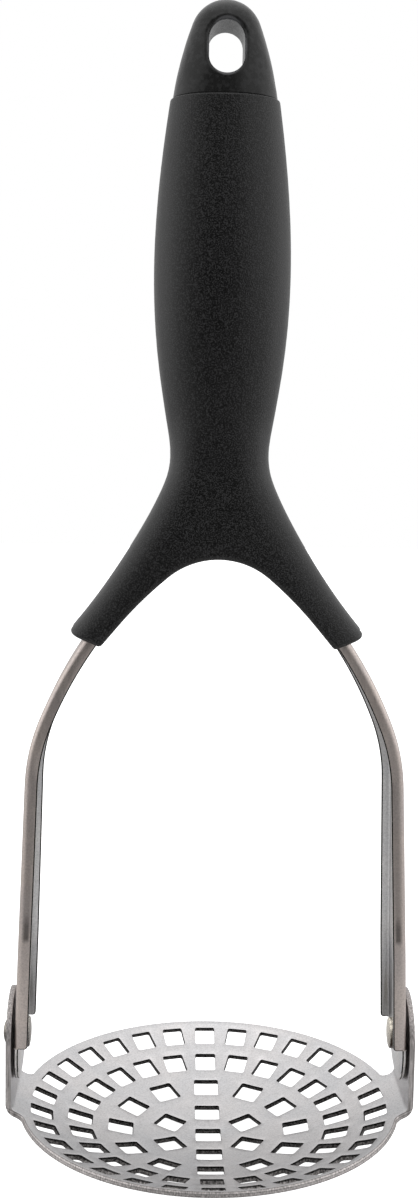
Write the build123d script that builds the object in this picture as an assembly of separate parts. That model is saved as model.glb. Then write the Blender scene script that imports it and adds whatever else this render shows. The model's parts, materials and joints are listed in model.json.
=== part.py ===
"""Folding potato masher: a dished, perforated steel plate hinged between two
channel-section steel arms, which are moulded into a forked plastic handle.

Frame: millimetres, +Z up the handle, X across the two arms, Y through the
handle's thickness. The origin is the bottom of the dish's underside, in the
middle of its centre hole, with the plate level, as when it stands in a pan.
"""
from build123d import *
from math import asin, copysign, cos, degrees, pi, radians, sin, tan
import os

# --- masher plate ---------------------------------------------------------
plate_sheet = 1.3            # thickness of the pressed steel sheet
plate_radius = 45.7          # outer radius, measured on the dished top face
dish_radius = 107.0          # radius of the dish's spherical top face
hole_corner = 0.45           # what the punch's bevelled corners leave in each hole
# One row for each ring of holes: ring radius, holes, width, radial length.
hole_rings = (
    (0.0, 1, 6.2, 6.2),
    (10.8, 6, 6.2, 6.2),
    (21.5, 12, 6.2, 6.2),
    (31.4, 24, 5.3, 6.2),
    (40.7, 30, 5.2, 5.8),
)

# --- hinge ----------------------------------------------------------------
hinge_end_radius = 10.9      # round end of both the ears and the arms
hinge_gap = 2.55             # from the arm's round end down to the ear's bend
ear_beyond_rim = 1.65        # inside face of an ear, outside the plate's radius
ear_bend = 2.0               # inside radius where the plate turns up into an ear
ear_root_fillet = 1.8        # notch radius where an ear's edge meets the rim
rivet_radius = 2.0           # shank
rivet_fit = 0.05             # radial clearance of the shank in every hole
rivet_head_radius = 3.7
rivet_head_height = 2.0
set_head_radius = 2.7        # formed end, outside the ear
set_head_height = 1.6
rivet_head_rim = 0.8         # straight edge of the head, under its dome
rivet_seat = 0.02            # head's seat to the nearest point of the arm
hinge_play = 0.05            # end play at each face of an ear
washer_radius = 4.5
washer_thickness = 0.4

# --- arms, which are as wide as their round ends beside the hinge -------------
arm_sheet = 1.0
arm_height = 3.2             # depth of the channel, across the sheet of its web
arm_gap = 0.7                # arm's web to the ear, at the hinge axis
arm_narrow = 8.0             # half width of the web from the taper's top
taper_start = 22.0           # start of the web's taper, above the hinge axis
taper_end = 65.0             # its end
arm_splay = 1.8              # degrees that the straight run leans inwards
arm_straight = 62.7          # length of the straight run above the hinge axis
bend_radius = 45.0           # first bend, at the top of the straight run
bend_turn = 20.0             # degrees
sweep_radius = 100.0         # long curve up to the handle
sweep_turn = 14.0            # degrees
tang_length = 22.0           # straight end, moulded into the handle
sheet_bend = 1.2             # outside radius of the channel's folded edges
flange_corner = 0.8          # rounded lower corners of the flanges
taper_round = 60.0           # radius that eases the web's taper in and out
anchor_radius = 2.5          # hole in each tang that the plastic fills
anchor_from_end = 9.0

# --- handle ---------------------------------------------------------------
leg_lap = 2.4                # length of the arm's curve that a leg covers
leg_outward = 2.0            # middle of a leg's end, outside the arm's middle line
# The outline from the seam down: half width, half depth, height above the leg ends.
grip_outline = (
    (12.5, 8.9, 123.1),
    (14.4, 10.1, 108.6),
    (15.8, 11.2, 84.6),
    (14.5, 10.5, 63.6),
    (12.0, 9.3, 47.6),
    (11.5, 9.0, 41.6),
    (14.0, 9.5, 33.4),
    (19.8, 10.3, 22.6),
)
# It goes on down the legs: width beyond the middle of a leg's end, and height.
leg_outline = ((-2.5, 8.6), (11.3, -7.4))
leg_wall = 2.6               # plastic in front of and behind each tang
grip_squareness = 2.1        # the grip is nearly an ellipse, and the legs are boxy
leg_squareness = 6.0
boxy_below = 50.6            # height above the leg ends where squaring off starts
handle_sections = 26
section_points = 24
handle_shoulder = 0.5        # rounded top edge under the cap
arch_rise = 19.0             # crown of the arch above the leg ends
arch_turn = 40.0             # degrees of the crown's arc, to each side
leg_radius = 90.0            # flatter curve along the inside of each leg
leg_turn = 10.0              # degrees
leg_end_slope = 20.0         # degrees that a leg's end face rises outwards
leg_end_inner = 4.65         # from the middle of the end face to its inner edge
leg_edge = 1.0               # rounding of the arch's and the leg ends' edges
socket_fit = 0.1             # clearance between the plastic and each tang

# --- end cap, with its heights above the seam -----------------------------------
cap_height = 22.1
cap_step = 0.5               # cap's base inside the handle's top edge, all round
cap_edge = 0.3               # rounding of its lower edge, which shows as a groove
cap_waist = (8.5, 10.3, 7.9, 2.05)   # height, half width and depth, squareness
cap_crown = 8.2              # radius of the cap's domed top, seen from the front
cap_crown_turn = 70.0        # degrees of that arc, to each side
cap_crown_depth = 0.84       # the dome's depth as a share of its width
eye_width = 8.0
eye_length = 12.0
eye_height = 10.5            # middle of the hanging eye
eye_edge = 0.8
plug_half_width = 8.2        # plug under the cap, in the handle's socket
plug_half_depth = 5.2
plug_length = 12.0
plug_fit = 0.15

# --- sizes worked out from those ------------------------------------------
touching = 0.01              # an edge this near a face, by its middle, lies on it
ear_inside = plate_radius + ear_beyond_rim
ear_outside = ear_inside + plate_sheet
ear_root_height = plate_sheet + dish_radius - (dish_radius ** 2 - ear_inside ** 2) ** 0.5
pivot_height = ear_root_height + ear_bend + hinge_gap + hinge_end_radius
arm_outside = ear_inside - arm_gap
splay = radians(arm_splay)
tang_lean = radians(arm_splay + bend_turn + sweep_turn)
SIDES = {"left": -1, "right": 1}


def save(shape, node):
    """Writes one piece as parts/NODE.step."""
    export_step(shape, f"parts/{node}.step")


def place(shape, side):
    """The shape as modelled for the right side, or its mirror image."""
    return shape if side > 0 else mirror(shape, about=Plane.YZ)


# --- the plate and its two ears -------------------------------------------
def dish_shell(edge_radius):
    """Spherical sheet out to edge_radius, with its rim square to the sheet."""
    centre = (0, plate_sheet + dish_radius)
    reach = degrees(asin(edge_radius / dish_radius))
    top = CenterArc(centre, dish_radius, -90, reach)
    under = CenterArc(centre, dish_radius + plate_sheet, -90, reach)
    outline = [top, Line(top @ 1, under @ 1), under, Line(under @ 0, top @ 0)]
    return revolve(Plane.XZ * make_face(outline), axis=Axis.Z)


def ear_tabs():
    """The dished tabs that run from the plate's rim out under both ears."""
    plan = Circle(plate_radius) + Rectangle(2 * ear_outside, 2 * hinge_end_radius)
    notches = [v for v in plan.vertices() if abs(v.X) < plate_radius]
    plan = fillet(notches, ear_root_fillet) - Circle(plate_radius - 2 * plate_sheet)
    return dish_shell(ear_outside + plate_sheet) & extrude(plan, amount=pivot_height)


def ear_upright():
    """The right ear above the dish, round at its end, with the rivet's hole."""
    face = Rectangle(2 * hinge_end_radius, pivot_height, align=(Align.CENTER, Align.MIN))
    face += Pos(0, pivot_height) * Circle(hinge_end_radius)
    face -= Pos(0, pivot_height) * Circle(rivet_radius + rivet_fit)
    upright = extrude(Plane.YZ.offset(ear_inside) * face, amount=plate_sheet)
    bowl = Pos(0, 0, plate_sheet + dish_radius) * Sphere(dish_radius + plate_sheet)
    return upright & bowl


def fold_lines(blank, offset):
    """The edges across both ears' roots, all along at this distance from the middle."""
    low = blank.edges().filter_by(lambda e: e.center().Z < pivot_height - hinge_end_radius)
    return low.filter_by(lambda e: all(abs(abs((e @ s).X) - offset) < touching for s in (0, 0.5, 1)))


def plate_holes():
    """A punch for every hole, square to the sheet and turned to face the middle."""
    depth = 3 * plate_sheet
    punches = []
    for ring_radius, count, width, length in hole_rings:
        outline = Rectangle(length, width)
        punch = extrude(chamfer(outline.vertices(), hole_corner), amount=depth)
        punch = Pos(0, 0, -dish_radius - 2 * plate_sheet) * punch
        punch = Rot(0, -degrees(asin(ring_radius / dish_radius)), 0) * punch
        for i in range(count):
            turned = Rot(0, 0, 90 - 360 * i / count) * punch
            punches.append(Pos(0, 0, plate_sheet + dish_radius) * turned)
    return punches


def masher_plate():
    """One sheet: the perforated dish, its tabs, and the ears that they turn up into."""
    upright = ear_upright()
    blank = dish_shell(plate_radius) + ear_tabs() + upright + place(upright, -1)
    blank = fillet(fold_lines(blank, ear_inside), ear_bend)
    blank = fillet(fold_lines(blank, ear_outside), ear_bend + plate_sheet)
    return blank - plate_holes()


# --- the arms -------------------------------------------------------------
def arm_line(inset, extra_length=0.0):
    """The right arm's centre-plane line, this far in from its web's outer face."""
    normal = (-inset * cos(splay), -inset * sin(splay))
    start = (arm_outside + normal[0], pivot_height + normal[1])
    straight = PolarLine(start, arm_straight, 90 + arm_splay)
    bend = JernArc(straight @ 1, straight % 1, bend_radius - inset, bend_turn)
    sweep = JernArc(bend @ 1, bend % 1, sweep_radius - inset, sweep_turn)
    tang = PolarLine(sweep @ 1, tang_length + extra_length, 90 + degrees(tang_lean))
    return [straight, bend, sweep, tang]


def arm_strip(outer_inset, inner_inset, half_widths, extra_length=0.0):
    """Solid that follows the arm between two insets, as wide as half_widths say."""
    outer = arm_line(outer_inset, extra_length)
    inner = arm_line(inner_inset, extra_length)
    ends = [Line(outer[-1] @ 1, inner[-1] @ 1), Line(outer[0] @ 0, inner[0] @ 0)]
    strip = extrude(Plane.XZ * make_face(outer + ends + inner), amount=2 * hinge_end_radius, both=True)
    wide, narrow = half_widths
    above_arm = pivot_height + arm_straight + bend_radius + sweep_radius
    right = [
        (wide, pivot_height - arm_height),
        (wide, pivot_height + taper_start),
        (narrow, pivot_height + taper_end),
        (narrow, above_arm),
    ]
    left = [(-y, z) for y, z in reversed(right)]
    side_view = make_face(Polyline(*right, *left, close=True))
    eased = side_view.vertices().filter_by(lambda v: pivot_height < v.Y < above_arm)
    side_view = Plane.YZ * fillet(eased, taper_round)
    return strip & extrude(side_view, amount=2 * ear_outside)


def on_web_edge(edge, web_line):
    """True for an edge along the outer face of the web, False for one across it."""
    middle, direction = edge @ 0.5, edge % 0.5
    along = abs(direction.Y) < abs(direction.Z)
    below = Vector(middle.X, 0, middle.Z)
    return along and min(line.distance_to(below) for line in web_line) < touching


def channel(fit=0.0):
    """The arm above its hinge: a folded channel. fit enlarges it for a socket."""
    solid = arm_strip(-fit, arm_height + fit, (hinge_end_radius + fit, arm_narrow + fit), fit)
    web_line = [Plane.XZ * line for line in arm_line(-fit, fit)]
    folds = solid.edges().filter_by(lambda e: on_web_edge(e, web_line))
    solid = fillet(folds, sheet_bend + fit)
    wall = arm_sheet + fit
    hollow = (hinge_end_radius - wall, arm_narrow - wall)
    solid -= arm_strip(wall, 2 * arm_height, hollow, 2 * arm_sheet)
    tang = arm_line(0)[-1]
    anchor = tang @ (1 - anchor_from_end / tang_length)
    normal = (cos(tang_lean), 0, sin(tang_lean))
    hole = extrude(Plane((anchor.X, 0, anchor.Y), z_dir=normal) * Circle(anchor_radius - fit),
                   amount=2 * arm_sheet, both=True)
    return solid - hole


def arm():
    """The right arm: its channel, and below that the round end of its web."""
    solid = channel()
    tip = Plane.XZ.from_local_coords(arm_line(arm_height)[0] @ 0)
    across = solid.edges().filter_by(Axis.Y)
    corners = across.filter_by(lambda e: (e @ 0.5 - tip).cross(Vector(0, 1, 0)).length < touching)
    solid = fillet(corners, flange_corner)
    web = Plane((arm_outside, 0, pivot_height), x_dir=(0, 1, 0), z_dir=(cos(splay), 0, sin(splay)))
    half = Rectangle(2 * hinge_end_radius, hinge_end_radius, align=(Align.CENTER, Align.MAX))
    end = (Circle(hinge_end_radius) & half) - Circle(rivet_radius + rivet_fit)
    solid += extrude(web * end, amount=-arm_sheet)
    return solid - extrude(web * Circle(rivet_radius + rivet_fit), amount=-2 * arm_sheet)


# --- handle and end cap ---------------------------------------------------
def oval(height, half_width, half_depth, squareness):
    """Level section of the handle: an ellipse at squareness 2, boxier above it."""
    points = []
    for i in range(section_points):
        across = cos(2 * pi * i / section_points)
        along = sin(2 * pi * i / section_points)
        x = half_width * copysign(abs(across) ** (2 / squareness), across)
        y = half_depth * copysign(abs(along) ** (2 / squareness), along)
        points.append((x, y))
    return Pos(0, 0, height) * make_face(Spline(*points, periodic=True))


def leg_end():
    """Middle of the right leg's end face, beside the top of the arm's last curve."""
    start = arm_line(arm_height / 2)[-1] @ 0
    x = start.X + leg_lap * sin(tang_lean) + leg_outward * cos(tang_lean)
    z = start.Y - leg_lap * cos(tang_lean) + leg_outward * sin(tang_lean)
    return x, z


def arch():
    """Everything under the arch between the two legs, down to their inner corners."""
    leg_x, leg_z = leg_end()
    slope = radians(leg_end_slope)
    corner_x = leg_x - leg_end_inner * cos(slope)
    corner_drop = arch_rise + leg_end_inner * sin(slope)
    turn = radians(arch_turn)
    lean = radians(arch_turn + leg_turn)
    # What the leg's curve adds across and down, and then the crown that meets the corner.
    leg_across = leg_radius * (sin(lean) - sin(turn))
    leg_drop = leg_radius * (cos(turn) - cos(lean))
    to_corner = (corner_x - leg_across) * sin(lean) - (corner_drop - leg_drop) * cos(lean)
    arch_radius = to_corner / (sin(turn) * sin(lean) - (1 - cos(turn)) * cos(lean))
    crown = JernArc((0, leg_z + arch_rise), (1, 0), arch_radius, -arch_turn)
    inside = JernArc(crown @ 1, crown % 1, leg_radius, -leg_turn)
    run = PolarLine(inside @ 1, leg_radius, -arch_turn - leg_turn)
    right = [crown, inside, run]
    left = [mirror(line, about=Plane.YZ) for line in right]
    foot = Line(run @ 1, (-(run @ 1).X, (run @ 1).Y))
    return extrude(Plane.XZ * make_face(right + left + [foot]), amount=leg_radius, both=True)


def below_leg_end():
    """Everything below the end face of the right leg."""
    block = Rectangle(leg_radius, leg_radius, align=(Align.CENTER, Align.MAX))
    block = Pos(*leg_end()) * Rot(0, 0, leg_end_slope) * block
    return extrude(Plane.XZ * block, amount=leg_radius, both=True)


def seam_height():
    return leg_end()[1] + grip_outline[0][2]


def plug(fit=0.0):
    """The cap's plug below the seam; fit enlarges it for the handle's socket."""
    section = oval(seam_height(), plug_half_width + fit, plug_half_depth + fit, 2)
    return extrude(section, amount=-plug_length - fit)


def handle_section(share):
    """Section of the handle at this share of its outline, from the seam down."""
    leg_x, leg_z = leg_end()
    legs = [(leg_x + beyond, arm_narrow + leg_wall, height) for beyond, height in leg_outline]
    at = Spline(*grip_outline, *legs) @ share
    boxy = max(0.0, boxy_below - at.Z) / (boxy_below - leg_outline[-1][1])
    squareness = grip_squareness + boxy * (leg_squareness - grip_squareness)
    return oval(leg_z + at.Z, at.X, at.Y, squareness)


def handle():
    """The forked grip, hollowed for both tangs and for the end cap's plug."""
    body = loft([handle_section(i / (handle_sections - 1)) for i in range(handle_sections)])
    body = fillet(body.edges().sort_by(Axis.Z)[-1], handle_shoulder)
    below = below_leg_end()
    body -= [arch(), below, place(below, -1)]
    crown = leg_end()[1] + arch_rise
    low = body.edges().filter_by_position(Axis.Z, 0, crown + leg_edge)
    # Above the legs' inner corners, one on each side, the arch's curves join smoothly.
    smooth_joins = low.filter_by(Axis.Y).sort_by(Axis.Z)[len(SIDES):]
    body = fillet(low - smooth_joins, leg_edge)
    tang = channel(socket_fit)
    return body - [tang, place(tang, -1), plug(plug_fit)]


def end_cap():
    """The domed cap with the hanging eye, and the plug that holds it in the handle."""
    seam = seam_height()
    half_width, half_depth, _ = grip_outline[0]
    waist_height, *waist = cap_waist
    turn = radians(cap_crown_turn)
    crown_foot = cap_height - cap_crown * (1 - cos(turn))
    crown_width = cap_crown * sin(turn)
    cap = loft([
        oval(seam, half_width - cap_step, half_depth - cap_step, grip_squareness),
        oval(seam + waist_height, *waist),
        oval(seam + crown_foot, crown_width, crown_width * cap_crown_depth, 2),
    ])
    dome = scale(Sphere(cap_crown), by=(1, cap_crown_depth, 1))
    dome = Pos(0, 0, seam + cap_height - cap_crown) * dome
    cap += split(dome, Plane.XY.offset(seam + crown_foot), keep=Keep.TOP)
    cap = fillet(cap.edges().sort_by(Axis.Z)[0], cap_edge)
    eye = Pos(0, seam + eye_height) * SlotOverall(eye_length, eye_width, rotation=90)
    hole = extrude(Plane.XZ * eye, amount=leg_radius, both=True)
    cap = cap - hole
    around_eye = cap.edges().filter_by(lambda e: hole.distance_to(e @ 0.5) < touching)
    rims = around_eye.filter_by(lambda e: abs(e.center().Y) > touching)
    return fillet(rims, eye_edge) + plug()


# --- rivets and washers ---------------------------------------------------
def rivet():
    """The right rivet: a domed head inside the arm and a set end outside the ear."""
    web_inside = arm_outside - arm_sheet / cos(splay)
    seat = web_inside - rivet_head_radius * tan(splay) - rivet_seat
    set_seat = ear_outside + hinge_play
    rim = seat - rivet_head_rim
    head = TangentArc((seat - rivet_head_height, 0), (rim, rivet_head_radius), tangent=(0, 1))
    set_end = TangentArc((set_seat + set_head_height, 0), (set_seat, set_head_radius), tangent=(0, 1))
    shoulders = [
        head @ 1,
        (seat, rivet_head_radius),
        (seat, rivet_radius),
        (set_seat, rivet_radius),
        set_end @ 1,
    ]
    outline = [head, Polyline(*shoulders), set_end, Line(set_end @ 0, head @ 0)]
    return Pos(0, 0, pivot_height) * revolve(Plane.XZ * make_face(outline), axis=Axis.X)


def washer():
    """The right hinge's washer, between the arm and the ear."""
    ring = Circle(washer_radius) - Circle(rivet_radius + rivet_fit)
    face = Plane((ear_inside - hinge_play, 0, pivot_height), x_dir=(0, 1, 0), z_dir=(-1, 0, 0)) * ring
    return extrude(face, amount=washer_thickness)


if __name__ == "__main__":
    os.makedirs("parts", exist_ok=True)
    save(handle(), "handle")
    save(end_cap(), "end_cap")
    save(masher_plate(), "masher_plate")
    for piece, shape in {"arm": arm(), "rivet": rivet(), "washer": washer()}.items():
        for name, side in SIDES.items():
            save(place(shape, side), f"{name}_{piece}")
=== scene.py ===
# %% [markdown]
# # A folding potato masher
# A dished, perforated steel plate swivels between two steel arms, and the arms are moulded
# into a forked black grip with a hanging eye at its end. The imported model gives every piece
# its real size and place. In this lesson the sheet metal and the rivets are modelled again,
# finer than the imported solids, with eased edges that catch the light. The grip and its cap
# have the right shape already, and only get their finish. A plain studio comes last.

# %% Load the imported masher
import json
from math import asin, cos, pi, radians, sin, sqrt, tan

import bpy
from mathutils import Euler, Matrix, Vector


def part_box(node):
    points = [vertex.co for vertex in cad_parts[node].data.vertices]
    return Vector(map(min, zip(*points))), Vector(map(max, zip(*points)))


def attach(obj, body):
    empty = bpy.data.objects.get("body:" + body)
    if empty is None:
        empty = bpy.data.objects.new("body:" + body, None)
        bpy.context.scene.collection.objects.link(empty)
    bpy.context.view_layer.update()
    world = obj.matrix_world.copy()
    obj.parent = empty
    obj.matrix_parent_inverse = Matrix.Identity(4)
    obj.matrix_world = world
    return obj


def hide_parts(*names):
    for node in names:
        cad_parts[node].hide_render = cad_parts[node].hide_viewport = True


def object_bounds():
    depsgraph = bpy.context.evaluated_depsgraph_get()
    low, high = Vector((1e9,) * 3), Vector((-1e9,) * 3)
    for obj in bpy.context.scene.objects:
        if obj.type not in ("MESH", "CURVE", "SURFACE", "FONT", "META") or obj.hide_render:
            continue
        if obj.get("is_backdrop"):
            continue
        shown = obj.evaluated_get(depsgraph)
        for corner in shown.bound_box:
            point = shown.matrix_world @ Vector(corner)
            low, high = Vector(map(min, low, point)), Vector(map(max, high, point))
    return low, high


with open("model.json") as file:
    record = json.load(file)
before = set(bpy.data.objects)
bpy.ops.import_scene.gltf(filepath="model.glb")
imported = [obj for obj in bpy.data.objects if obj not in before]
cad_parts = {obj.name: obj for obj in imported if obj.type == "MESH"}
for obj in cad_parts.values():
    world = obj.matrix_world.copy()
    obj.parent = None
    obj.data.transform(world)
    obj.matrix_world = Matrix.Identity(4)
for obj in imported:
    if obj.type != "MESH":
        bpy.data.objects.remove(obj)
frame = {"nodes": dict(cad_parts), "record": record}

cad_low, cad_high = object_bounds()
bpy.ops.object.select_all(action="DESELECT")
MM = 0.001
hinge = frame["record"]["behaviour"]["joints"][0]["pos_m"]
print("masher stands", round((cad_high.z - cad_low.z) / MM, 1), "mm tall")
print("its plate swivels at", round(hinge[2] / MM, 2), "mm above the table")

# %% [markdown]
# ## Sizes that shape and finish share
# Some finishes follow the form. The torn band of a punched wall lies at one depth in the
# dished sheet, and a painted shade lies across the arms, square to their lean. So the sizes that
# both need are set first, each written once.

# %% Shared sizes
plate_sheet = 1.3 * MM
dish_radius = 107.0 * MM
arm_lean = radians(1.8)
dish_middle = (0.0, 0.0, plate_sheet + dish_radius)
print("the dish is part of a ball whose middle is", round(dish_middle[2] / MM, 1), "mm up")

# %% [markdown]
# ## Helpers for modelling
# An operator works on whatever is selected in edit mode. By hand that is a click; in a script
# a small test on each point, edge or face does the clicking. Modifiers are applied as soon as
# they are set, so each one is a single line further down.

# %% Helpers for modelling
def pick(test, kind="VERT"):
    """In edit mode, selects only the points, edges or faces that pass the test."""
    bpy.ops.object.mode_set(mode="OBJECT")
    mesh = bpy.context.object.data
    for group in (mesh.vertices, mesh.edges, mesh.polygons):
        group.foreach_set("select", [False] * len(group))
    for part in {"VERT": mesh.vertices, "EDGE": mesh.edges, "FACE": mesh.polygons}[kind]:
        part.select = test(part)
    bpy.ops.object.mode_set(mode="EDIT")
    bpy.ops.mesh.select_mode(type=kind)


def point_at(name, place):
    """Starts a piece as one point: a plane primitive merged to its centre, moved to its place."""
    bpy.ops.object.select_all(action="DESELECT")
    bpy.ops.mesh.primitive_plane_add(size=MM)
    piece = bpy.context.object
    piece.name = name
    bpy.ops.object.mode_set(mode="EDIT")
    bpy.ops.mesh.select_mode(type="VERT")
    bpy.ops.mesh.merge(type="CENTER")
    bpy.ops.transform.translate(value=place)
    return piece


def line_by(x, y, z):
    """Draws a straight line on from the selected point."""
    bpy.ops.mesh.extrude_region_move(TRANSFORM_OT_translate={"value": (x, y, z)})


def arc_by(angle, centre, axis, steps):
    """Draws an arc on from the selected point."""
    bpy.ops.mesh.spin(steps=steps, angle=angle, center=centre, axis=axis)


def apply_modifier(piece, kind, **settings):
    bpy.context.view_layer.objects.active = piece
    modifier = piece.modifiers.new(kind.lower(), kind)
    for key, value in settings.items():
        setattr(modifier, key, value)
    bpy.ops.object.modifier_apply(modifier=modifier.name)


def ease_edges(piece, width, segments=2, sharper_than=45.0):
    """Rounds every sharp edge a little and leaves the rest smooth."""
    apply_modifier(
        piece, "BEVEL", width=width, segments=segments, limit_method="ANGLE",
        angle_limit=radians(sharper_than), use_clamp_overlap=False,
    )
    bpy.ops.object.select_all(action="DESELECT")
    piece.select_set(True)
    bpy.ops.object.shade_smooth_by_angle(angle=radians(40.0))
    piece.select_set(False)


def stands_for(piece, node, body):
    """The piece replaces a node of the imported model, and moves with its body."""
    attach(piece, body)
    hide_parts(node)
    low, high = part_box(node)
    span = [round((max(c) - min(c)) / MM, 2) for c in zip(*(v.co for v in piece.data.vertices))]
    wanted = [round((high[i] - low[i]) / MM, 2) for i in range(3)]
    print(piece.name, "measures", span, "and its solid", wanted, "with", len(piece.data.polygons), "faces")


# %% [markdown]
# ## Helpers for finishes
# A procedural finish is a few nodes joined up. The helpers keep that short: one makes a
# material with its shader, one adds a node with its settings, and one adds noise that is read
# from Object coordinates, so that the pattern has a real size in metres and stays with the
# piece when it moves.

# %% Helpers for finishes
def new_finish(name, colour, metallic, roughness):
    finish = bpy.data.materials.new(name)
    finish.use_nodes = True
    shader = finish.node_tree.nodes["Principled BSDF"]
    shader.inputs["Base Color"].default_value = (*colour, 1.0)
    shader.inputs["Metallic"].default_value = metallic
    shader.inputs["Roughness"].default_value = roughness
    return finish, shader


def add_node(finish, kind, **settings):
    node = finish.node_tree.nodes.new(kind)
    for key, value in settings.items():
        setattr(node, key, value)
    return node


def link(finish, output, target):
    finish.node_tree.links.new(output, target)


def grain(finish, cell, stretch=(1.0, 1.0, 1.0), detail=2.0):
    """Noise whose cells are about this many metres across, longer where stretch is above 1."""
    place = add_node(finish, "ShaderNodeTexCoord")
    scale = add_node(finish, "ShaderNodeMapping")
    scale.inputs["Scale"].default_value = [1.0 / (cell * s) for s in stretch]
    noise = add_node(finish, "ShaderNodeTexNoise")
    noise.inputs["Scale"].default_value = 1.0
    noise.inputs["Detail"].default_value = detail
    link(finish, place.outputs["Object"], scale.inputs["Vector"])
    link(finish, scale.outputs["Vector"], noise.inputs["Vector"])
    return noise.outputs["Fac"]


def spread(finish, fac, low, high, start=0.3, end=0.7):
    """Turns a number that runs from start to end into one that runs from low to high."""
    span = add_node(finish, "ShaderNodeMapRange")
    span.inputs["From Min"].default_value = start
    span.inputs["From Max"].default_value = end
    span.inputs["To Min"].default_value = low
    span.inputs["To Max"].default_value = high
    link(finish, fac, span.inputs["Value"])
    return span.outputs["Result"]


def tint(finish, fac, stops):
    """Turns a number into a colour, through stops of place and colour."""
    ramp = add_node(finish, "ShaderNodeValToRGB")
    elements = ramp.color_ramp.elements
    while len(elements) < len(stops):
        elements.new(0.5)
    for element, (place, colour) in zip(elements, stops):
        element.position = place
        element.color = (*colour, 1.0)
    link(finish, fac, ramp.inputs["Fac"])
    return ramp.outputs["Color"]


def tint_grey(finish, fac, tones):
    """Turns a number into a grey, through stops of place and tone."""
    return tint(finish, fac, [(place, (tone, tone, tone)) for place, tone in tones])


def blend_colours(finish, fac, first, second):
    """The first colour where the number is 0 and the second where it is 1."""
    mix = add_node(finish, "ShaderNodeMix", data_type="RGBA")
    link(finish, fac, mix.inputs["Factor"])
    link(finish, first, mix.inputs["A"])
    link(finish, second, mix.inputs["B"])
    return mix.outputs["Result"]


def shaded(finish, colour, tone):
    """A colour made darker or lighter by a grey tone."""
    mix = add_node(finish, "ShaderNodeMix", data_type="RGBA", blend_type="MULTIPLY")
    mix.inputs["Factor"].default_value = 1.0
    link(finish, colour, mix.inputs["A"])
    link(finish, tone, mix.inputs["B"])
    return mix.outputs["Result"]


def tone_along(finish, axis, tones):
    """A grey tone that changes along one axis, given as places in metres and their tones."""
    first, last = tones[0][0], tones[-1][0]
    spot = add_node(finish, "ShaderNodeTexCoord")
    parts = add_node(finish, "ShaderNodeSeparateXYZ")
    link(finish, spot.outputs["Object"], parts.inputs["Vector"])
    share = spread(finish, parts.outputs[axis], 0.0, 1.0, start=first, end=last)
    return tint_grey(finish, share, [((at - first) / (last - first), tone) for at, tone in tones])


def across_arm(finish):
    """How far out a place is, square to an arm's lean, and the same on both arms."""
    spot = add_node(finish, "ShaderNodeTexCoord")
    both_sides = add_node(finish, "ShaderNodeVectorMath", operation="ABSOLUTE")
    across = add_node(finish, "ShaderNodeVectorMath", operation="DOT_PRODUCT")
    across.inputs[1].default_value = (cos(arm_lean), 0.0, sin(arm_lean))
    link(finish, spot.outputs["Object"], both_sides.inputs[0])
    link(finish, both_sides.outputs["Vector"], across.inputs[0])
    return across.outputs["Value"]


def facing(finish, direction, away, towards):
    """A number from 0 to 1 that grows as the piece's own surface turns to a direction."""
    spot = add_node(finish, "ShaderNodeTexCoord")
    turned = add_node(finish, "ShaderNodeVectorMath", operation="DOT_PRODUCT")
    turned.inputs[1].default_value = direction
    link(finish, spot.outputs["Normal"], turned.inputs[0])
    return spread(finish, turned.outputs["Value"], 0.0, 1.0, start=away, end=towards)


def dents(finish, shader, height, depth):
    """Bumps in the surface, as deep as this many metres, where the height changes."""
    bump = add_node(finish, "ShaderNodeBump")
    bump.inputs["Distance"].default_value = depth
    link(finish, height, bump.inputs["Height"])
    link(finish, bump.outputs["Normal"], shader.inputs["Normal"])


# %% [markdown]
# ## Rolled steel faces
# Stainless sheet has fine lines along the direction it was rolled and brushed in. Noise that
# is long one way and thin the other gives those lines, in the roughness and in a very shallow
# bump, and slow clouds of a slightly warmer and cooler grey lie under them.
#
# The arms take a tone by height as well: outside they are painted a little darker upwards, and
# inside they are painted dark at the foot, a painted reflection of the ears that they mirror.
# Where the arms taper, some way above the ears, a painted shade crosses the flanges. It could be
# painted on an image, but here its strength goes by height and its depth by how far out a place
# is, so it lies alike on both arms and stays sharp.

# %% Rolled steel faces
def rolled_steel(name, cool, warm, roughness, along, tones=None, taper_shade=None):
    """Lines run along the axis that is stretched. Tones and the painted taper shade are stops of height.
    """
    finish, shader = new_finish(name, cool, 1.0, roughness)
    lines = grain(finish, 0.22 * MM, stretch=along, detail=3.0)
    clouds = grain(finish, 11.0 * MM, detail=3.0)
    grit = grain(finish, 0.4 * MM)
    clouded = tint(finish, clouds, ((0.35, cool), (0.65, warm)))
    colour = shaded(finish, clouded, spread(finish, grit, 0.8, 1.0, start=0.3, end=0.62))
    if tones:
        colour = shaded(finish, colour, tone_along(finish, "Z", tones))
    if taper_shade:
        shaded_colour = shaded(finish, colour, shade_across_flange(finish))
        colour = blend_colours(finish, tone_along(finish, "Z", taper_shade), colour, shaded_colour)
    link(finish, colour, shader.inputs["Base Color"])
    link(finish, spread(finish, lines, roughness - 0.07, roughness + 0.09), shader.inputs["Roughness"])
    dents(finish, shader, lines, 0.012 * MM)
    return finish


def shade_across_flange(finish):
    """The painted shade's depth across an arm, from the lip of a flange to the outer face of the web."""
    flange_lip, web_face = 44.3 * MM, 47.5 * MM
    share = spread(finish, across_arm(finish), 0.0, 1.0, start=flange_lip, end=web_face)
    return tint_grey(finish, share, ((0.12, 1.0), (0.28, 0.3), (0.5, 0.32), (0.75, 1.0)))
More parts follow.
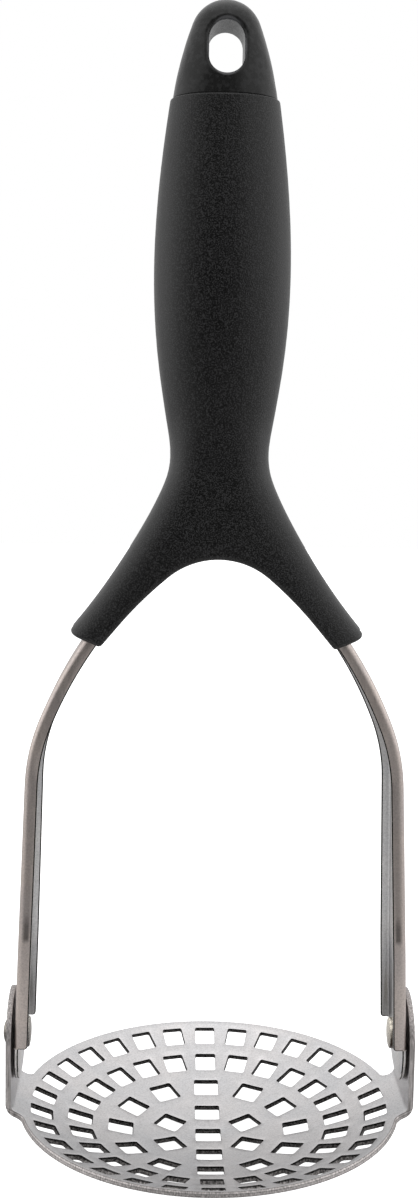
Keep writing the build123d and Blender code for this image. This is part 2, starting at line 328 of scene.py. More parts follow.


# Each stop is a height in metres and a tone, or how strong the painted shade is there.
# outside, the arms are painted a little darker upwards
low_is_bright = ((0.045, 0.95), (0.062, 0.86))
# painted reflection: the insides darker at the foot, where they mirror the ears
foot_painted_dark = ((0.0272, 1.2), (0.0282, 0.6), (0.036, 0.6), (0.052, 1.05))
# painted shade across both flanges where the arms taper, strongest just above the ears
shade_above_ear = (
    (0.0535, 0.0), (0.0548, 0.95), (0.0578, 0.9), (0.061, 0.3), (0.08, 0.18), (0.092, 0.0),
)
side_to_side, up_and_down, even = (30.0, 1.0, 1.0), (1.0, 1.0, 40.0), (1.0, 1.0, 1.0)
plate_face = rolled_steel(
    "plate_face", (0.655, 0.65, 0.66), (0.715, 0.695, 0.695), 0.34, side_to_side,
)
arm_face = rolled_steel(
    "arm_face", (0.63, 0.565, 0.54), (0.69, 0.61, 0.565), 0.4, up_and_down,
    tones=low_is_bright, taper_shade=shade_above_ear,
)
arm_inside = rolled_steel(
    "arm_inside", (0.7, 0.7, 0.71), (0.77, 0.755, 0.745), 0.33, up_and_down, tones=foot_painted_dark,
)
washer_face = rolled_steel("washer_face", (0.36, 0.35, 0.34), (0.44, 0.42, 0.4), 0.4, even)
print("rolled faces:", plate_face.name, arm_face.name, arm_inside.name, washer_face.name)

# %% [markdown]
# ## Sheared steel walls
# A punch cuts part of the way in and leaves a smooth band, and below it the metal tears. Round
# the rim the cut band is the bright one, over a dark line and a rough, duller tear. Inside the
# holes the cut bands would mirror only each other, so they are painted nearly black, a painted
# shade, and the tear is bright. How deep a point lies in the plate's sheet is its distance from
# the middle of the dish's ball, so the bands follow the dish round every hole and along the rim.
# Fine streaks run down the walls, the way the tool went. The holes' walls are painted darker
# towards the back, a painted shade where the dish shades itself. The arms' walls are painted
# nearly white, a painted highlight, and the rolled-over edges of the arms' flanges are painted
# as a dark lip, a painted shade.

# %% Sheared steel walls
def sheared_steel(name, bright, torn, dullness, bands=None, tones=None, deepest=0.7):
    """Bands are stops of depth in the sheet, 0 at its upper face, and tones go by place in Y."""
    finish, shader = new_finish(name, torn, 1.0, 0.55)
    streaks = grain(finish, 0.3 * MM, stretch=(1.0, 1.0, 12.0), detail=1.0)
    patches = grain(finish, 0.5 * MM, detail=4.0)
    dull = tuple(c * dullness for c in torn)
    colour = tint(finish, patches, ((0.38, dull), (0.6, torn), (0.72, bright)))
    colour = shaded(finish, colour, spread(finish, streaks, deepest, 1.1))
    if bands:
        colour = shaded(finish, colour, tint_grey(finish, depth_in_dish(finish), bands))
    if tones:
        colour = shaded(finish, colour, tone_along(finish, "Y", tones))
    link(finish, colour, shader.inputs["Base Color"])
    link(finish, spread(finish, patches, 0.42, 0.68), shader.inputs["Roughness"])
    dents(finish, shader, streaks, 0.03 * MM)
    return finish


def depth_in_dish(finish):
    """How deep a place lies in the dished sheet, from 0 at its upper face to 1 at its lower."""
    spot = add_node(finish, "ShaderNodeTexCoord")
    apart = add_node(finish, "ShaderNodeVectorMath", operation="DISTANCE")
    apart.inputs[1].default_value = dish_middle
    link(finish, spot.outputs["Object"], apart.inputs[0])
    lower_face = dish_radius + plate_sheet
    return spread(finish, apart.outputs["Value"], 0.0, 1.0, start=dish_radius, end=lower_face)


rim_bands = (
    (0.0, 1.0), (0.03, 0.6), (0.12, 0.6), (0.2, 1.25), (0.4, 1.15),
    (0.48, 0.45), (0.6, 1.0), (0.85, 0.9), (0.95, 0.5),
)
# painted shade: the cut band at the top of each hole's wall is nearly black
hole_bands = ((0.0, 0.12), (0.3, 0.16), (0.42, 1.1), (1.0, 0.9))
# painted shade: the holes' walls darker towards the back
back_is_dark = ((-0.04, 1.1), (-0.022, 0.55), (0.0, 0.3))
plate_wall = sheared_steel(
    "plate_wall", (0.72, 0.69, 0.68), (0.62, 0.585, 0.575), 0.85, bands=rim_bands, deepest=0.5,
)
hole_wall = sheared_steel(
    "hole_wall", (0.85, 0.82, 0.81), (0.6, 0.57, 0.56), 0.2, bands=hole_bands, tones=back_is_dark,
)
# painted highlight: the arms' sheared walls nearly white, for the bright line along each flange's tip
arm_wall = sheared_steel("arm_wall", (0.95, 0.94, 0.93), (0.88, 0.86, 0.84), 0.9)
# painted shade: the flanges' rolled-over edges nearly black
arm_lip_shade = sheared_steel("arm_lip_shade", (0.2, 0.19, 0.18), (0.03, 0.027, 0.025), 0.3)
print("sheared walls:", plate_wall.name, hole_wall.name, arm_wall.name, arm_lip_shade.name)

# %% [markdown]
# ## Rivet steel
# The rivets are slightly golden bar steel, and the left one is painted darker than the right, a
# painted shade. A head this small mirrors only a little of the room, and which little depends on
# the way its skin faces. So that direction sets a painted reflection in the colour, dark to the
# front and below, where a plain mirror finish would need the whole bench modelled. Fine
# scratches break up the gloss.

# %% Rivet steel
def turned_steel(name, shaded_side, lit_side):
    """Steel painted darker where it looks to the front and down, a painted reflection."""
    back_and_up = (0.0, 0.6, 0.8)
    finish, shader = new_finish(name, lit_side, 1.0, 0.25)
    scratches = grain(finish, 0.6 * MM, detail=3.0)
    lit = facing(finish, back_and_up, -0.7, 0.4)
    colour = tint(finish, lit, ((0.1, shaded_side), (0.75, lit_side)))
    colour = shaded(finish, colour, spread(finish, scratches, 0.6, 1.1))
    link(finish, colour, shader.inputs["Base Color"])
    link(finish, spread(finish, scratches, 0.18, 0.36), shader.inputs["Roughness"])
    dents(finish, shader, scratches, 0.01 * MM)
    return finish


# painted shade: the left rivet's finish is a darker copy of the right one's
rivet_finish = {
    -1: turned_steel("rivet_painted_dim", (0.05, 0.04, 0.035), (0.4, 0.37, 0.33)),
    1: turned_steel("rivet_painted_lit", (0.07, 0.055, 0.045), (0.95, 0.88, 0.76)),
}
print("rivets:", rivet_finish[-1].name, "on the left and", rivet_finish[1].name, "on the right")

# %% [markdown]
# ## The plate, 1: sizes
# The real plate is cut and punched flat from stainless sheet, pressed into a shallow dish,
# and its two ears are then folded up to take the rivets. A dish could be cut from a sphere
# and the holes bored through it, but real holes are punched before the pressing and their
# walls lean with the sheet. So the plate is made here in the order of the real one: a flat
# blank with its holes, then the dish and the folds, then the thickness.

# %% Sizes of the plate
plate_radius = 45.7 * MM
ear_half_width = 10.9 * MM
ear_inside = 47.35 * MM
ear_bend = 2.0 * MM
hinge_height = hinge[2]


def dish_height(x, y):
    """Height of the dish's upper face above the table."""
    return plate_sheet + dish_radius - sqrt(dish_radius ** 2 - x ** 2 - y ** 2)


fold_lean = asin((ear_inside - ear_bend) / (dish_radius - ear_bend))
fold_start = dish_radius * sin(fold_lean)
fold_length = ear_bend * (pi / 2 - fold_lean)
ear_foot = dish_height(fold_start, 0.0) + ear_bend * cos(fold_lean)
flat_hinge = fold_start + fold_length + hinge_height - ear_foot
print("the fold starts", round(fold_start / MM, 2), "mm out")
print("in the flat, the rivet hole is", round(flat_hinge / MM, 2), "mm out")

# %% [markdown]
# ## The plate, 2: outline of the blank
# The outline is a disc with a round-ended tab on each side. It is drawn as one line that goes
# round: a single point is spun through half the disc, extruded out along a tab, spun round the
# tab's end and extruded back, and then the same again for the other side. Where a tab meets
# the disc, the tool leaves a small round notch, which is a bevel of that one corner.

# %% Outline
near = 0.01 * MM
tab_angle = asin(ear_half_width / plate_radius)
tab_root = plate_radius * cos(tab_angle)
outline = point_at("outline", (tab_root, ear_half_width, 0.0))
for side in (-1, 1):
    arc_by(pi - 2 * tab_angle, (0.0, 0.0, 0.0), (0, 0, -1), 60)
    line_by(side * (flat_hinge - tab_root), 0.0, 0.0)
    arc_by(pi, (side * flat_hinge, 0.0, 0.0), (0, 0, -1), 32)
    line_by(side * (tab_root - flat_hinge), 0.0, 0.0)
bpy.ops.mesh.select_all(action="SELECT")
bpy.ops.mesh.remove_doubles(threshold=near)

# %% Notches
notch = 1.8 * MM


def is_tab_corner(point):
    return abs(abs(point.co.x) - tab_root) < near and abs(abs(point.co.y) - ear_half_width) < near


pick(is_tab_corner)
notch_setback = notch / tan((pi / 2 + tab_angle) / 2)
bpy.ops.mesh.bevel(offset=notch_setback, segments=6, affect="VERTICES")
bpy.ops.object.mode_set(mode="OBJECT")
print("outline has", len(outline.data.vertices), "points")

# %% [markdown]
# ## The plate, 3: holes
# The holes stand in rings, one in the middle and 6, 12, 24 and 30 around it. Each is a square
# with its corners rounded by a vertex bevel, and its face taken out to leave only its outline.
# One is made for each ring and copied round it by a turn and a shift. The dish leans more
# towards the rim, so a hole there is a little shorter along the radius in the flat.

# %% Holes
hole_rings = (
    # distance from the middle, how many, and the size along and across the radius, in mm
    (0.0, 1, 6.2, 6.2),
    (10.8, 6, 6.2, 6.2),
    (21.5, 12, 6.2, 6.2),
    (31.4, 24, 6.2, 5.3),
    (40.7, 30, 5.8, 5.2),
)
hole_corner = 0.5 * MM
wires = [outline]
for out_by, count, along, across in hole_rings:
    foreshortening = cos(asin(out_by * MM / dish_radius))
    bpy.ops.object.select_all(action="DESELECT")
    bpy.ops.mesh.primitive_plane_add(size=1)
    hole = bpy.context.object
    hole.scale = (along * MM * foreshortening, across * MM, 1)
    bpy.ops.object.transform_apply(location=False)
    bpy.ops.object.mode_set(mode="EDIT")
    bpy.ops.mesh.bevel(offset=hole_corner, segments=4, affect="VERTICES")
    bpy.ops.mesh.delete(type="ONLY_FACE")
    bpy.ops.object.mode_set(mode="OBJECT")
    for number in range(count):
        copy = hole.copy()
        copy.data = hole.data.copy()
        bpy.context.collection.objects.link(copy)
        turn = Matrix.Rotation(radians(90.0 - 360.0 * number / count), 4, "Z")
        copy.data.transform(turn @ Matrix.Translation((out_by * MM, 0.0, 0.0)))
        wires.append(copy)
    bpy.data.objects.remove(hole)
print("punched", len(wires) - 1, "holes")

# %% Rivet holes
rivet_hole = 2.05 * MM
for side in (-1, 1):
    place = (side * flat_hinge, 0.0, 0.0)
    bpy.ops.mesh.primitive_circle_add(vertices=32, radius=rivet_hole, location=place)
    bpy.ops.object.transform_apply(location=True)
    wires.append(bpy.context.object)
print("with the rivets' holes there are", len(wires), "outlines")

# %% [markdown]
# ## The plate, 4: the flat blank
# All the outlines are joined into one mesh and filled. Fill leaves the inner outlines open,
# and these are the holes. The faces it makes are long and thin, and a mesh can only bend
# where it has points. So the blank is cut across each fold several times with bisect, and
# edges longer than 2.5 mm are halved, three times over.

# %% Flat blank
bpy.ops.object.select_all(action="DESELECT")
for wire in wires:
    wire.select_set(True)
bpy.context.view_layer.objects.active = outline
bpy.ops.object.join()
plate = outline
plate.name = "perforated_plate"
bpy.ops.object.mode_set(mode="EDIT")
bpy.ops.mesh.select_all(action="SELECT")
bpy.ops.mesh.fill(use_beauty=True)
bpy.ops.mesh.select_all(action="SELECT")
bpy.ops.mesh.flip_normals()

# %% Lines across the folds, and finer faces
fold_steps, halvings = 8, 3
longest_edge, shortest_edge = 2.5 * MM, 0.03 * MM
for side in (-1, 1):
    for step in range(fold_steps + 1):
        bpy.ops.mesh.select_all(action="SELECT")
        out_by = side * (fold_start + fold_length * step / fold_steps)
        bpy.ops.mesh.bisect(plane_co=(out_by, 0.0, 0.0), plane_no=(1.0, 0.0, 0.0))


def is_long(edge):
    first, second = (plate.data.vertices[i].co for i in edge.vertices)
    return (first - second).length > longest_edge


for _ in range(halvings):
    pick(is_long, kind="EDGE")
    bpy.ops.mesh.subdivide(number_cuts=1)
bpy.ops.mesh.select_all(action="SELECT")
bpy.ops.mesh.remove_doubles(threshold=shortest_edge)
bpy.ops.mesh.select_all(action="SELECT")
bpy.ops.mesh.quads_convert_to_tris()
bpy.ops.mesh.beautify_fill(angle_limit=pi)
bpy.ops.object.mode_set(mode="OBJECT")
area = sum(face.area for face in plate.data.polygons)
print("the blank has", len(plate.data.polygons), "faces and", round(area / MM ** 2), "mm2 of metal")

# %% [markdown]
# ## The plate, 5: pressing and folding
# The press moves every point of the blank to its place on the dish, and the folder carries
# the tabs round a 2 mm bend until they stand upright. Both are one rule from the flat place
# of a point to its formed place. The root of the fold follows the dish, which is a little
# higher away from the middle, and that difference fades out over the foot of the ear.

# %% Pressing and folding
def formed(point):
    """Where a point of the flat blank goes when the dish is pressed and the ears are folded."""
    side = 1 if point.x > 0 else -1
    past = abs(point.x) - fold_start
    if past <= 0:
        return Vector((point.x, point.y, dish_height(point.x, point.y)))
    lean = min(past / fold_length, 1.0) * (pi / 2 - fold_lean) + fold_lean
    out = ear_inside - ear_bend + ear_bend * sin(lean)
    up = dish_height(fold_start, point.y) + ear_bend * (cos(fold_lean) - cos(lean))
    climbed = max(past - fold_length, 0.0)
    share = min(climbed / (2 * ear_bend), 1.0)
    if climbed > 0:
        up = (1 - share) * up + share * ear_foot + climbed
    return Vector((side * out, point.y, up))


for point in plate.data.vertices:
    point.co = formed(point.co)
print("the ears stand", round(max(point.co.z for point in plate.data.vertices) / MM, 1), "mm tall")

# %% [markdown]
# ## The plate, 6: thickness and edges
# Solidify gives the sheet its 1.3 mm downwards, even round the folds. It also puts the new
# walls in a second material slot, because a sheared wall looks different from a rolled face.
# A small bevel then breaks the sharp edges, as the tumbling drum does to the real plate.

# %% Thickness and edges
plate_edge = 0.12 * MM
for finish in (plate_face, plate_wall, hole_wall):
    plate.data.materials.append(finish)
apply_modifier(
    plate, "SOLIDIFY", thickness=plate_sheet, offset=-1, use_even_offset=True,
    material_offset_rim=1,
)
ease_edges(plate, plate_edge, sharper_than=50.0)


def is_hole_wall(face):
    """A wall, in slot 1, that is well inside the rim and the folds."""
    inside_rim = face.center.xy.length < plate_radius - notch
    inside_folds = abs(face.center.x) < fold_start - notch
    return face.material_index == 1 and inside_rim and inside_folds


for face in plate.data.polygons:
    if is_hole_wall(face):
        face.material_index = 2
stands_for(plate, "masher_plate", "plate")

# %% [markdown]
# ## The arms, 1: section and path
# An arm is a strip of 1 mm stainless sheet with both long edges folded inwards, so that its
# section is a shallow channel. It rises straight from the hinge, leaning in a little, bends
# towards the middle, sweeps on in a longer curve, and ends in a tang inside the grip. Only the
# outer skin of the section is drawn, as one line, and it is extruded and spun along the path.
# The arm is drawn upright with its hinge at the origin, and leaned and moved into place later.

# %% Sizes of the arms
arm_sheet = 1.0 * MM
arm_depth = 3.2 * MM
fold_round = 1.5 * MM
arm_half_width = ear_half_width
arm_narrow = 8.0 * MM
arm_gap = 0.7 * MM
straight_run, straight_steps = 62.7 * MM, 20
first_bend, first_turn = 45.0 * MM, radians(20.0)
long_sweep, sweep_turn = 100.0 * MM, radians(14.0)
tang = 22.0 * MM
arm_length = straight_run + first_bend * first_turn + long_sweep * sweep_turn + tang
print("an arm is", round(arm_length / MM, 1), "mm long from its rivet to the end of its tang")

# %% Section of the channel
flange = arm_depth - fold_round
web_half = arm_half_width - fold_round
arm = point_at("right_arm_strip", (-arm_depth, -arm_half_width, 0.0))
line_by(flange, 0.0, 0.0)
arc_by(pi / 2, (-fold_round, -web_half, 0.0), (0, 0, -1), 5)
line_by(0.0, 2 * web_half, 0.0)
arc_by(pi / 2, (-fold_round, web_half, 0.0), (0, 0, -1), 5)
line_by(-flange, 0.0, 0.0)
print("the section is", round(2 * arm_half_width / MM, 1), "by", round(arm_depth / MM, 1), "mm")

# %% Path of the channel
bpy.ops.mesh.select_all(action="SELECT")
for _ in range(straight_steps):
    line_by(0.0, 0.0, straight_run / straight_steps)
arc_by(first_turn, (-first_bend, 0.0, straight_run), (0, 1, 0), 12)
turn_past = first_bend - long_sweep
sweep_x = -first_bend + turn_past * cos(first_turn)
sweep_z = straight_run + turn_past * sin(first_turn)
sweep_centre = (sweep_x, 0.0, sweep_z)
arc_by(sweep_turn, sweep_centre, (0, 1, 0), 12)
tang_lean = first_turn + sweep_turn
line_by(-tang * sin(tang_lean), 0.0, tang * cos(tang_lean))

# %% [markdown]
# ## The arms, 2: corners, place and taper
# The lower corners of the two flanges are rounded with a vertex bevel. The arm then leans,
# moves out beside its ear, and narrows on the way up to its bend. The taper moves the folds
# in without squeezing them, so the folds keep their radius.

# %% Lower corners of the flanges
flange_corner = 0.8 * MM


def is_flange_corner(point):
    return point.co.z < near and abs(point.co.x + arm_depth) < near


pick(is_flange_corner)
bpy.ops.mesh.bevel(offset=flange_corner, segments=4, affect="VERTICES")
bpy.ops.object.mode_set(mode="OBJECT")
print("the arm's skin has", len(arm.data.polygons), "faces")

# %% Place and taper
arm_outside = ear_inside - arm_gap
to_place = Matrix.Translation((arm_outside, 0.0, hinge_height)) @ Matrix.Rotation(-arm_lean, 4, "Y")
taper_start, taper_end = 22.0 * MM, 65.0 * MM
arm.data.transform(to_place)
for point in arm.data.vertices:
    share = (point.co.z - hinge_height - taper_start) / (taper_end - taper_start)
    moved_in = (arm_half_width - arm_narrow) * min(max(share, 0.0), 1.0)
    side = 1 if point.co.y > 0 else -1
    point.co.y -= side * moved_in * min(abs(point.co.y) / web_half, 1.0)
wide, narrow = (round(2 * half / MM, 1) for half in (arm_half_width, arm_narrow))
print("it narrows from", wide, "to", narrow, "mm")

# %% [markdown]
# ## The arms, 3: sheet, round end and holes
# Solidify gives the skin its millimetre, inwards. The web goes on below the flanges as a half
# disc round the rivet. It is a circle cut through its middle, thickened the same way and
# united with the channel. The rivet's hole goes through it, and another hole goes through the
# tang, where the grip's plastic flows in and anchors the arm.

# %% Sheet
def as_arm_sheet(piece):
    """Gives a skin its thickness, behind its faces: slot 1 is its walls and slot 2 its back."""
    for finish in (arm_face, arm_wall, arm_inside):
        piece.data.materials.append(finish)
    apply_modifier(
        piece, "SOLIDIFY", thickness=arm_sheet, offset=-1, use_even_offset=True,
        material_offset_rim=1, material_offset=2,
    )


def face_outwards(piece):
    """Turns the skin's faces round if its widest one points back to the middle."""
    widest = max(piece.data.polygons, key=lambda face: face.area)
    if widest.normal.x < 0:
        piece.data.flip_normals()


face_outwards(arm)
as_arm_sheet(arm)
print("as a sheet the arm has", len(arm.data.polygons), "faces")

# %% Round end
bpy.ops.object.select_all(action="DESELECT")
bpy.ops.mesh.primitive_circle_add(
    vertices=96, radius=arm_half_width, fill_type="NGON", rotation=(0.0, pi / 2, 0.0),
)
tongue = bpy.context.object
bpy.ops.object.transform_apply()
bpy.ops.object.mode_set(mode="EDIT")
bpy.ops.mesh.select_all(action="SELECT")
bpy.ops.mesh.bisect(plane_co=(0.0, 0.0, 0.0), plane_no=(0.0, 0.0, 1.0), clear_outer=True)
bpy.ops.object.mode_set(mode="OBJECT")
tongue.data.transform(to_place)
face_outwards(tongue)
as_arm_sheet(tongue)
apply_modifier(arm, "BOOLEAN", operation="UNION", object=tongue, solver="EXACT")
bpy.data.objects.remove(tongue)
arm_low = min(point.co.z for point in arm.data.vertices)
print("the round end reaches", round((hinge_height - arm_low) / MM, 1), "mm below the rivet")

# %% Holes in the arm
anchor_hole, anchor_from_end = 2.5 * MM, 9.0 * MM
drill_depth = 6.0 * MM
tang_start_x = sweep_centre[0] + long_sweep * cos(tang_lean)
tang_start_z = sweep_centre[2] + long_sweep * sin(tang_lean)
to_anchor = tang - anchor_from_end
anchor_x = tang_start_x - to_anchor * sin(tang_lean)
anchor_z = tang_start_z + to_anchor * cos(tang_lean)
holes = ((rivet_hole, (0.0, 0.0, 0.0), 0.0), (anchor_hole, (anchor_x, 0.0, anchor_z), tang_lean))
for radius, place, lean in holes:
    bpy.ops.object.select_all(action="DESELECT")
    bpy.ops.mesh.primitive_cylinder_add(
        vertices=48, radius=radius, depth=drill_depth, location=place,
        rotation=(0.0, pi / 2 - lean, 0.0),
    )
    drill = bpy.context.object
    bpy.ops.object.transform_apply()
    drill.data.transform(to_place)
    drill.data.materials.append(arm_wall)
    apply_modifier(arm, "BOOLEAN", operation="DIFFERENCE", object=drill, solver="EXACT")
    bpy.data.objects.remove(drill)
    print("drilled a hole of", round(2 * radius / MM, 1), "mm")

# %% [markdown]
# ## The arms, 4: edges, and the other arm
# Shears and dies leave the strip's edges rolled over by about a quarter of a millimetre, and
# that edge tells the eye that this is sheet metal. The union leaves points that lie on
# straight edges, and merging and dissolving them first lets one bevel run cleanly along every
# edge. A union hands its points back in another order on each run, and dissolving goes by
# that order, so the mesh is first written anew, sorted by place: then every run is alike. The
# bevel puts its faces in a slot of their own, and those that look to the front or the back
# are painted nearly black, a painted shade along the flanges' lips. The left arm is a mirrored
# copy with a mesh of its own. Mirroring turns faces inside out, so its normals are flipped back.

# %% Sorted by place
def put_in_order(piece):
    """Writes a mesh anew, with its points and faces in an order that only their places give."""
    mesh = piece.data
    places = [tuple(round(c, 7) for c in point.co) for point in mesh.vertices]
    order = sorted(range(len(places)), key=places.__getitem__)
    new_number = {old: new for new, old in enumerate(order)}
    faces = []
    for face in mesh.polygons:
        ring = [new_number[i] for i in face.vertices]
        start = ring.index(min(ring))
        faces.append((ring[start:] + ring[:start], face.material_index))
    faces.sort()
    mesh.clear_geometry()
    mesh.from_pydata([places[i] for i in order], [], [ring for ring, _ in faces])
    for face, (_, slot) in zip(mesh.polygons, faces):
        face.material_index = slot


put_in_order(arm)
print("sorted", len(arm.data.vertices), "points and", len(arm.data.polygons), "faces")

# %% Edges
arm_edge = 0.28 * MM
joint_reach = 0.4 * MM
wall_slot, lip_shade_slot = 1, 3


def is_in_joint(point):
    """Where the round end runs into the folds, a bevelled edge would have no room to end."""
    in_web = point.x > arm_outside - arm_sheet - joint_reach
    return in_web and abs(point.z - hinge_height) < joint_reach


bpy.context.view_layer.objects.active = arm
arm.select_set(True)
bpy.ops.object.mode_set(mode="EDIT")
bpy.ops.mesh.select_all(action="SELECT")
bpy.ops.mesh.remove_doubles(threshold=2 * near)
bpy.ops.mesh.dissolve_limited(angle_limit=radians(0.3), delimit={"MATERIAL"})
bpy.ops.mesh.select_mode(type="EDGE")
bpy.ops.mesh.select_all(action="DESELECT")
bpy.ops.mesh.edges_select_sharp(sharpness=radians(50.0))
bpy.ops.object.mode_set(mode="OBJECT")
sharp = {edge.index for edge in arm.data.edges if edge.select}


def is_free_and_sharp(edge):
    ends = [arm.data.vertices[i].co for i in edge.vertices]
    return edge.index in sharp and not all(is_in_joint(end) for end in ends)


pick(is_free_and_sharp, kind="EDGE")
arm.data.materials.append(arm_lip_shade)
bpy.ops.mesh.bevel(
    offset=arm_edge, segments=2, affect="EDGES", clamp_overlap=False, material=lip_shade_slot,
)
bpy.ops.mesh.select_all(action="SELECT")
bpy.ops.mesh.remove_doubles(threshold=0.2 * near)
bpy.ops.object.mode_set(mode="OBJECT")
# bevel faces that look to the front or the back keep the lip's painted shade
least_turn = 0.3
for face in arm.data.polygons:
    if face.material_index == lip_shade_slot and abs(face.normal.y) < least_turn:
        face.material_index = wall_slot
bpy.ops.object.shade_smooth_by_angle(angle=radians(40.0))
arm.select_set(False)
lips = sum(face.material_index == lip_shade_slot for face in arm.data.polygons)
print("of the arm's", len(arm.data.polygons), "faces,", lips, "are dark lip")

# %% The other arm
left_arm = arm.copy()
left_arm.data = arm.data.copy()
left_arm.name = "left_arm_strip"
bpy.context.collection.objects.link(left_arm)
left_arm.data.transform(Matrix.Diagonal((-1.0, 1.0, 1.0, 1.0)))
left_arm.data.flip_normals()
stands_for(arm, "right_arm", "frame")
stands_for(left_arm, "left_arm", "frame")

# %% [markdown]
# ## The rivets
# A rivet is turned from bar: a domed head with a short straight rim inside the arm, a shank,
# and a smaller head that is formed outside the ear when the rivet is set. It could be joined
# from cylinders and squashed balls, but anything turned is simplest as half of its section,
# spun once round its axis. The section is drawn from the middle of the head to the middle of
# the set end.

# %% Rivets
head_radius, head_dome, head_rim = 3.7 * MM, 0.4 * MM, 1.6 * MM
set_radius, set_dome, set_rim = 2.7 * MM, 0.6 * MM, 1.0 * MM
shank_radius = 2.0 * MM
rivet_edge = 0.35 * MM


def dome_radius(half_width, height):
    """The radius of the ball that a dome this wide and high is part of."""
    return (half_width ** 2 + height ** 2) / (2 * height)


def turned_rivet(name, node, side):
    """Side is 1 where the set head points to +X."""
    low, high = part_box(node)
    head_top, set_top = (low.x, high.x) if side > 0 else (high.x, low.x)
    shank = abs(set_top - head_top) - head_dome - head_rim - set_rim - set_dome
    rivet = point_at(name, (head_top, 0.0, hinge_height))
    dome = dome_radius(head_radius, head_dome)
    arc_by(asin(head_radius / dome), (head_top + side * dome, 0.0, hinge_height), (0, -side, 0), 12)
    line_by(side * head_rim, 0.0, 0.0)
    line_by(0.0, 0.0, shank_radius - head_radius)
    line_by(side * shank, 0.0, 0.0)
    line_by(0.0, 0.0, set_radius - shank_radius)
    line_by(side * set_rim, 0.0, 0.0)
    dome = dome_radius(set_radius, set_dome)
    arc_by(asin(set_radius / dome), (set_top - side * dome, 0.0, hinge_height), (0, -side, 0), 10)
    close_by_turning(rivet)
    ease_edges(rivet, rivet_edge, segments=4, sharper_than=30.0)
    return rivet


def close_by_turning(piece):
    """Spins the drawn section once round the hinge's axis and closes the mesh."""
    bpy.ops.mesh.select_all(action="SELECT")
    bpy.ops.mesh.spin(steps=64, angle=2 * pi, center=(0.0, 0.0, hinge_height), axis=(1, 0, 0))
    bpy.ops.mesh.select_all(action="SELECT")
    bpy.ops.mesh.remove_doubles(threshold=0.005 * MM)
    bpy.ops.mesh.normals_make_consistent(inside=False)
    bpy.ops.object.mode_set(mode="OBJECT")


for side, name in ((-1, "left"), (1, "right")):
    rivet = turned_rivet(name + "_turned_rivet", name + "_rivet", side)
    rivet.data.materials.append(rivet_finish[side])
    stands_for(rivet, name + "_rivet", "frame")

# %% [markdown]
# ## The washers
# A thin washer keeps each arm off its ear. The real ones are stamped, and a flat ring could be
# filled between two circles, but the rivets' way of turning already gives a closed ring, from
# a section that is a small rectangle.

# %% Washers
washer_edge = 0.06 * MM
for name in ("left", "right"):
    low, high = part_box(name + "_washer")
    bore = rivet_hole
    rim = (high.z - low.z) / 2
    washer = point_at(name + "_turned_washer", (low.x, 0.0, hinge_height + bore))
    line_by(high.x - low.x, 0.0, 0.0)
    line_by(0.0, 0.0, rim - bore)
    line_by(low.x - high.x, 0.0, 0.0)
    line_by(0.0, 0.0, bore - rim)
    close_by_turning(washer)
    ease_edges(washer, washer_edge)
    washer.data.materials.append(washer_face)
    stands_for(washer, name + "_washer", "frame")

# %% [markdown]
# ## Grip plastic
# The grip is moulded in a spark-eroded tool, so its black surface is covered in tiny pits.
# They are too fine for geometry, and a bump with a cell of under half a millimetre shows
# them. The same noise lifts the colour a little, because the pits' edges catch light.

# %% Grip plastic
def dress(node, finish):
    """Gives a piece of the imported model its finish."""
    for slot in frame["nodes"][node].material_slots:
        slot.material = finish


def moulded_plastic(name, dark, light, smooth, rough, pit, depth, shine):
    """Plastic with pits this many metres across and deep, lighter and rougher at their edges."""
    finish, shader = new_finish(name, dark, 0.0, rough)
    shader.inputs["Specular IOR Level"].default_value = shine
    pits = grain(finish, pit, detail=1.0)
    roughness = spread(finish, pits, smooth, rough, start=0.42, end=0.6)
    link(finish, tint(finish, pits, ((0.48, dark), (0.62, light))), shader.inputs["Base Color"])
    link(finish, roughness, shader.inputs["Roughness"])
    dents(finish, shader, pits, depth)
    return finish


grip_skin = moulded_plastic(
    "grip_plastic", (0.003, 0.003, 0.003), (0.032, 0.032, 0.033), 0.34, 0.48,
    pit=0.3 * MM, depth=0.07 * MM, shine=0.4,
)
dress("handle", grip_skin)
print("the handle is dressed in", grip_skin.name)

# %% [markdown]
# ## Cap plastic
# The cap at the top is a separate moulding with a smoother, satin skin. The wall of its eye is
# painted pale, a painted highlight. That could be a third material on the wall's faces, but these
# belong to the imported model's mesh, which stays as it is. The wall is an upright oval round the
# eye's middle, so the distance from there, with the height squeezed to match, tells where the
# painted highlight ends.

# %% Cap plastic
eye_middle = frame["record"]["mounts"][0]["pos_m"]
eye_half_width, eye_half_height, any_depth = 4.0 * MM, 6.0 * MM, 1.0e6
pale_until, black_from = 1.08, 1.14


def paint_eye_highlight(finish, pale):
    """Paints a pale highlight on the wall of the hanging eye, and leaves the rest of the piece as it was.
    """
    base = finish.node_tree.nodes["Principled BSDF"].inputs["Base Color"]
    colour = base.links[0].from_socket
    spot = add_node(finish, "ShaderNodeTexCoord")
    squeeze = add_node(finish, "ShaderNodeMapping", vector_type="TEXTURE")
    squeeze.inputs["Location"].default_value = eye_middle
    squeeze.inputs["Scale"].default_value = (eye_half_width, any_depth, eye_half_height)
    reach = add_node(finish, "ShaderNodeVectorMath", operation="LENGTH")
    link(finish, spot.outputs["Object"], squeeze.inputs["Vector"])
    link(finish, squeeze.outputs["Vector"], reach.inputs[0])
    away = spread(finish, reach.outputs["Value"], 0.0, 1.0, start=pale_until, end=black_from)
    eye_highlight = add_node(finish, "ShaderNodeRGB")
    eye_highlight.outputs["Color"].default_value = (*pale, 1.0)
    link(finish, blend_colours(finish, away, eye_highlight.outputs["Color"], colour), base)


cap_skin = moulded_plastic(
    "cap_plastic", (0.019, 0.019, 0.019), (0.03, 0.03, 0.0304), 0.24, 0.3,
    pit=1.2 * MM, depth=0.02 * MM, shine=0.25,
)
